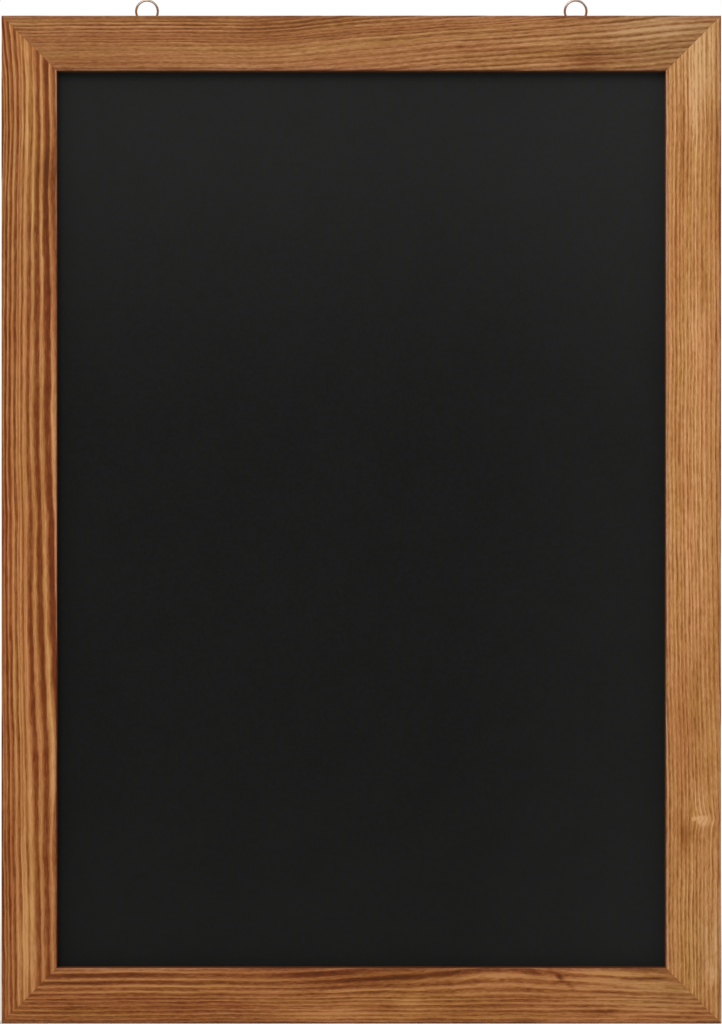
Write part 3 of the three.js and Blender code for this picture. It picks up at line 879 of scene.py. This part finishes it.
# The V-nails are folded strips of bright steel, driven into the back across each mitre, two to a
# corner. Their upper edges lie level with the wood.
nail_leg = 6.0
nail_sheet = 0.8
nail_depth = 10.0
nail_proud = 0.04  # of the back face, where the wood has sprung back
corner_turns = {"top_left": 0, "top_right": 90, "bottom_right": 180, "bottom_left": 270}


def bright_steel():
    """Cold-rolled strip steel, a little dulled and scratched."""
    steel = Finish("bright_steel")
    place = steel.add("TexCoord", output="Object")
    cloud = steel.noise(place, (300, 300, 300), 3, 0.6)
    scratches = steel.noise(place, (500, 4000, 4000), 2)
    colour = steel.blend(cloud, (0.30, 0.30, 0.31, 1), (0.43, 0.43, 0.44, 1))
    roughness = steel.ramp(cloud, 0.3, 0.7, 0.32, 0.48)
    normal = steel.bump(scratches, 0.01 * mm)
    return steel.surface(colour, roughness, normal, Metallic=1.0)


def placing(place, turn=0, side_view=False):
    """From millimetres to the scene: turned about the Y axis, in degrees, and moved to a place. A
    side view, drawn as [y, z], is first turned so that its first axis lies along +Y."""
    matrix = Matrix.Translation(place) @ Matrix.Rotation(math.radians(turn), 4, "Y")
    if side_view:
        matrix = matrix @ Matrix.Rotation(math.radians(90), 4, "Z")
    return matrix @ Matrix.Scale(mm, 4)


def prism(name, outline, low, high, matrix, material):
    """An outline of [across, up] points in millimetres, from one depth to another, then placed."""
    points = [matrix @ Vector((x, depth, z)) for depth in (low, high) for x, z in outline]
    return piece_from(name, points, tube_faces(2, len(outline)), material)


def settle(piece):
    """Applies a piece's modifiers to its mesh."""
    graph = bpy.context.evaluated_depsgraph_get()
    mesh = bpy.data.meshes.new_from_object(piece.evaluated_get(graph))
    piece.modifiers.clear()
    piece.data = mesh


def rounded(piece, radius, segments=2, angle=40):
    """Rounds a piece's edges that are sharper than an angle. The radius is in millimetres."""
    bevel = piece.modifiers.new("rounded", "BEVEL")
    bevel.width = radius * mm
    bevel.segments = segments
    bevel.limit_method = "ANGLE"
    bevel.angle_limit = math.radians(angle)
    bevel.use_clamp_overlap = True
    settle(piece)
    smooth(piece)


steel = bright_steel()
nail_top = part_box("top_rail")[1].y / mm + nail_proud
nail_outline = [
    (0, 0), (0, nail_leg), (-nail_sheet, nail_leg), (-nail_sheet, nail_sheet),
    (-nail_leg, nail_sheet), (-nail_leg, 0),
]
for corner, corner_turn in corner_turns.items():
    for rank in ("outer", "inner"):
        node = f"v_nail_{corner}_{rank}"
        low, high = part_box(node)
        # The fold stands at the corner of the box that is nearest the board's middle.
        fold_x = low.x if low.x > 0 else high.x
        fold_z = low.z if "bottom" not in corner else high.z
        place = placing((fold_x, 0, fold_z), corner_turn)
        nail = prism(f"{node}_driven", nail_outline, nail_top - nail_depth, nail_top, place, steel)
        rounded(nail, 0.12)
        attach(nail, "board")
        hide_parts(node)


# The panel points are flat steel tabs, sharp at one end, pushed into the side of the rebate so that
# they hold the panel against the lip. The free end is turned up a little for a thumb.
point_half = 3.0
point_sheet = 0.6
point_over = 6.0
point_in_wood = 7.0
point_taper = 3.5
point_bend = 2.8  # length of the turned-up end
point_lift = 0.6
side_turns = {"top": 0, "right": 90, "bottom": 180, "left": 270}


def cut(piece, tool, operation):
    """Cuts a piece with another, which is then removed, by DIFFERENCE or INTERSECT."""
    boolean = piece.modifiers.new("cut", "BOOLEAN")
    boolean.operation = operation
    boolean.solver = "EXACT"
    boolean.object = tool
    settle(piece)
    bpy.data.objects.remove(tool)


def strip_outline(line, thickness):
    """Both faces of a strip of even thickness along a line of [y, z] points."""
    steps = np.diff(line, axis=0)
    steps /= np.linalg.norm(steps, axis=1)[:, None]
    into, out = np.vstack([steps[:1], steps]), np.vstack([steps, steps[-1:]])
    along = into + out
    along /= np.linalg.norm(along, axis=1)[:, None]
    reach = thickness / 2 / np.sum(along * into, axis=1)
    aside = np.column_stack([-along[:, 1] * reach, along[:, 0] * reach])
    return [*(line + aside), *(line - aside)[::-1]]


def panel_point(node, side_turn):
    """One point, a strip trimmed to its outline, with z running from the rebate into the wood."""
    low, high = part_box(node)
    outward = Matrix.Rotation(math.radians(side_turn), 4, "Y") @ Vector((0, 0, 1))
    wall = (low + high) / 2 - outward * (point_in_wood - point_over) / 2 * mm
    wall.y = low.y
    outline = [
        (-point_half, -point_over), (-point_half, point_in_wood - point_taper), (0, point_in_wood),
        (point_half, point_in_wood - point_taper), (point_half, -point_over),
    ]
    # Both ends of the line run on past the outline that the strip is trimmed to.
    line = [(point_sheet / 2, point_in_wood + 1)]
    for share in np.linspace(0, 1.2, 11):
        lift = point_lift * share * share
        line.append((point_sheet / 2 + lift, point_bend * (1 - share) - point_over))
    width = point_half + 1
    side_view = placing(wall, side_turn, side_view=True)
    tab = prism(f"{node}_tab", strip_outline(line, point_sheet), -width, width, side_view, steel)
    cut(tab, prism("outline", outline, -1, 3, placing(wall, side_turn), steel), "INTERSECT")
    rounded(tab, 0.1)
    return tab


for side_name, count in (("top", 2), ("right", 3), ("bottom", 2), ("left", 3)):
    for i in range(count):
        node = f"panel_point_{side_name}_{i + 1}"
        tab = panel_point(node, side_turns[side_name])
        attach(tab, "board")
        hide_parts(node)


# The ring straps are brass strips, folded round the rings' wire and screwed flat to the back of the
# top rail. The fold is narrower than the leaves, so that the round ring clears it.
strap_sheet = 0.8
strap_leaf_gap = 0.2
strap_half = 5.0
strap_neck_half = 2.2
strap_neck_length = 3.0
strap_flare = 3.5
hole_drops = (8.5, 20.0)
hole_radius = 1.8
knuckle_wrap = 50  # degrees past level
knuckle_steps = 40
flare_steps = 16
round_end_steps = 32
strap_end = hole_drops[1] + strap_half


def aged_brass(name, clean, browned, highlight_colour=None, highlight_span=None):
    """Brass with fine drawing marks, browned by age. A paler colour, a painted highlight, takes
    over within a span of height.
    """
    metal = Finish(name)
    place = metal.add("TexCoord", output="Object")
    tarnish = metal.noise(place, (260, 260, 260), 4, 0.65)
    marks = metal.noise(place, (2500, 2500, 500), 2)
    colour = metal.blend(metal.ramp(tarnish, 0.35, 0.7), (*clean, 1), (*browned, 1))
    # Painted highlight: a paler colour over the top of a ring.
    if highlight_colour is not None:
        height = metal.parts(place)[2]
        colour = metal.blend(metal.ramp(height, *highlight_span), colour, (*highlight_colour, 1))
    roughness = metal.ramp(tarnish, 0.3, 0.7, 0.22, 0.40)
    return metal.surface(colour, roughness, metal.bump(marks, 0.008 * mm), Metallic=1.0)


def circle(radius, count, centre=(0, 0)):
    """Points on a circle, each as (across, up)."""
    angles = [2 * math.pi * i / count for i in range(count)]
    return [
        (centre[0] + radius * math.cos(angle), centre[1] + radius * math.sin(angle))
        for angle in angles
    ]


def strap_face():
    """The strap seen from behind: a neck at the fold, a flare and a round end."""
    above_fold = 6.0
    right_side = [(strap_neck_half, above_fold)]
    for i in range(flare_steps + 1):
        share = i / flare_steps
        eased_share = share * share * (3 - 2 * share)
        across = strap_neck_half + (strap_half - strap_neck_half) * eased_share
        right_side.append((across, -strap_neck_length - strap_flare * share))
    right_side.append((strap_half, -hole_drops[1]))
    end = []
    for i in range(1, round_end_steps):
        angle = -math.pi * i / round_end_steps
        end.append((strap_half * math.cos(angle), -hole_drops[1] + strap_half * math.sin(angle)))
    return right_side + end + [(-x, z) for x, z in reversed(right_side)]


def ring_strap(side_name, pivot):
    """One strap: a strip folded over the wire, trimmed to its outline, with its screw holes."""
    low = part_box(f"ring_strap_{side_name}")[0]
    mean_radius = (pivot.y - low.y) / mm - strap_sheet / 2
    wrap = math.radians(knuckle_wrap)
    leaf_y = -mean_radius + strap_sheet + strap_leaf_gap
    end = -strap_end - 1.0  # a little longer than it is trimmed to
    line = [(-mean_radius, end)]
    for i in range(knuckle_steps + 1):
        angle = math.pi - (math.pi + wrap) * i / knuckle_steps
        line.append((mean_radius * math.cos(angle), mean_radius * math.sin(angle)))
    last_y, last_z = line[-1]
    line.append((leaf_y, last_z - (last_y - leaf_y) / math.tan(wrap)))
    line.append((leaf_y, end))
    fold = strip_outline(line, strap_sheet)
    width = strap_half + 2
    side_view, place = placing(pivot, side_view=True), placing(pivot)
    strap = prism(f"ring_strap_{side_name}_folded", fold, -width, width, side_view, brass)
    deep = 8.0  # well past both leaves
    cut(strap, prism("face", strap_face(), -deep, deep, place, brass), "INTERSECT")
    for drop in hole_drops:
        hole = prism("hole", circle(hole_radius, 40, (0, -drop)), -deep, deep, place, brass)
        cut(strap, hole, "DIFFERENCE")
    rounded(strap, 0.1)
    return strap


brass = aged_brass("aged_brass", (0.28, 0.160, 0.098), (0.17, 0.088, 0.050))
pivots = {
    "left": Vector(frame["joints"][0]["pos_m"]),
    "right": Vector(frame["joints"][1]["pos_m"]),
}
for side_name, pivot in pivots.items():
    strap = ring_strap(side_name, pivot)
    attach(strap, "board")
    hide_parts(f"ring_strap_{side_name}")


# The strap screws are short brassed round-head screws with cross recesses, two to a strap. Each was
# left with its recess at another angle.
screw_radius = 1.5
screw_length = 12.0
screw_tip = 3.0
head_radius = 2.8
head_height = 1.7
head_rim = 0.5  # straight edge below the dome
dome_steps = 12
round_steps = 48
recess_span = 3.0
recess_width = 0.8
recess_depth = 0.9
screw_turns = {"left_upper": 12, "left_lower": 38, "right_upper": 71, "right_lower": 25}


def turned(name, profile, count, matrix, material):
    """A profile of [radius, height] points turned about the Y axis. It starts and ends at 0."""
    inner = profile[1:-1]
    points = [(0, profile[0][1], 0)]
    for radius, height in inner:
        points += [(x, height, z) for x, z in circle(radius, count)]
    points.append((0, profile[-1][1], 0))
    faces = []
    for j in range(count):
        k = (j + 1) % count
        faces.append((0, 1 + j, 1 + k))
        for ring in range(len(inner) - 1):
            first, second = 1 + ring * count, 1 + (ring + 1) * count
            faces.append((first + j, first + k, second + k, second + j))
        last = 1 + (len(inner) - 1) * count
        faces.append((last + j, last + k, len(points) - 1))
    return piece_from(name, [matrix @ Vector(point) for point in points], faces, material)


def strap_screw(node, turn):
    """One screw, with its recess turned by an angle."""
    low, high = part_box(node)
    seat = high.y / mm - head_height
    place = placing(((low.x + high.x) / 2, seat * mm, (low.z + high.z) / 2), turn)
    profile = [(0, -screw_length), (screw_radius, screw_tip - screw_length), (screw_radius, 0)]
    profile.append((head_radius, 0))
    for i in range(dome_steps + 1):
        angle = math.pi / 2 * i / dome_steps
        height = head_rim + (head_height - head_rim) * math.sin(angle)
        profile.append((head_radius * math.cos(angle), height))
    profile[-1] = (0, head_height)
    screw = turned(f"{node}_turned", profile, round_steps, place, brass)
    half_span, half_width = recess_span / 2, recess_width / 2
    for half_x, half_z in ((half_span, half_width), (half_width, half_span)):
        sides = [(-half_x, -half_z), (half_x, -half_z), (half_x, half_z), (-half_x, half_z)]
        low_y, high_y = head_height - recess_depth, head_height + 1
        cut(screw, prism("recess", sides, low_y, high_y, place, brass), "DIFFERENCE")
    rounded(screw, 0.07)
    return screw


for screw_name, turn in screw_turns.items():
    screw = strap_screw(f"strap_screw_{screw_name}", turn)
    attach(screw, "board")
    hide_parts(f"strap_screw_{screw_name}")


# Each hanging ring is a length of brass wire bent round, with its two cut ends butted together
# inside the strap's fold.
ring_radius = 7.58  # to the middle of the wire
wire_radius = 0.8
butt_gap = 0.4
end_round = 0.15  # of the wire's cut ends
end_steps = 3
ring_steps = 116
wire_sides = 24
ring_highlight_heights = (-5.5 * mm, 0)  # between which a painted highlight pales the ring's top
ring_brass = aged_brass(
    "ring_brass", (0.20, 0.085, 0.032), (0.14, 0.055, 0.020), (0.35, 0.27, 0.22), ring_highlight_heights
)


def hanging_ring(side_name, pivot):
    """One ring: the wire's round sections, from one cut end round to the other."""
    half_gap = butt_gap / 2 / ring_radius
    first, last = half_gap - math.pi / 2, 3 * math.pi / 2 - half_gap
    ends = []
    for i in range(end_steps):
        rise = math.pi / 2 * i / end_steps
        turn = end_round * (1 - math.cos(rise)) / ring_radius
        ends.append((turn, wire_radius - end_round * (1 - math.sin(rise))))
    even = np.linspace(first + end_round / ring_radius, last - end_round / ring_radius, ring_steps)
    sections = [(first + turn, radius) for turn, radius in ends]
    sections += [(angle, wire_radius) for angle in even]
    sections += [(last - turn, radius) for turn, radius in reversed(ends)]
    points = []
    for angle, radius in sections:
        for j in range(wire_sides):
            round_wire = 2 * math.pi * j / wire_sides
            reach = ring_radius + radius * math.cos(round_wire)
            points.append(pivot + mm * Vector((
                reach * math.cos(angle),
                radius * math.sin(round_wire),
                ring_radius + reach * math.sin(angle),
            )))
    faces = tube_faces(len(sections), wire_sides)
    ring = piece_from(f"hanging_ring_{side_name}_wire", points, faces, ring_brass)
    smooth(ring)
    return ring


for side_name, pivot in pivots.items():
    ring = hanging_ring(side_name, pivot)
    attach(ring, f"{side_name}_ring")
    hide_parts(f"hanging_ring_{side_name}")
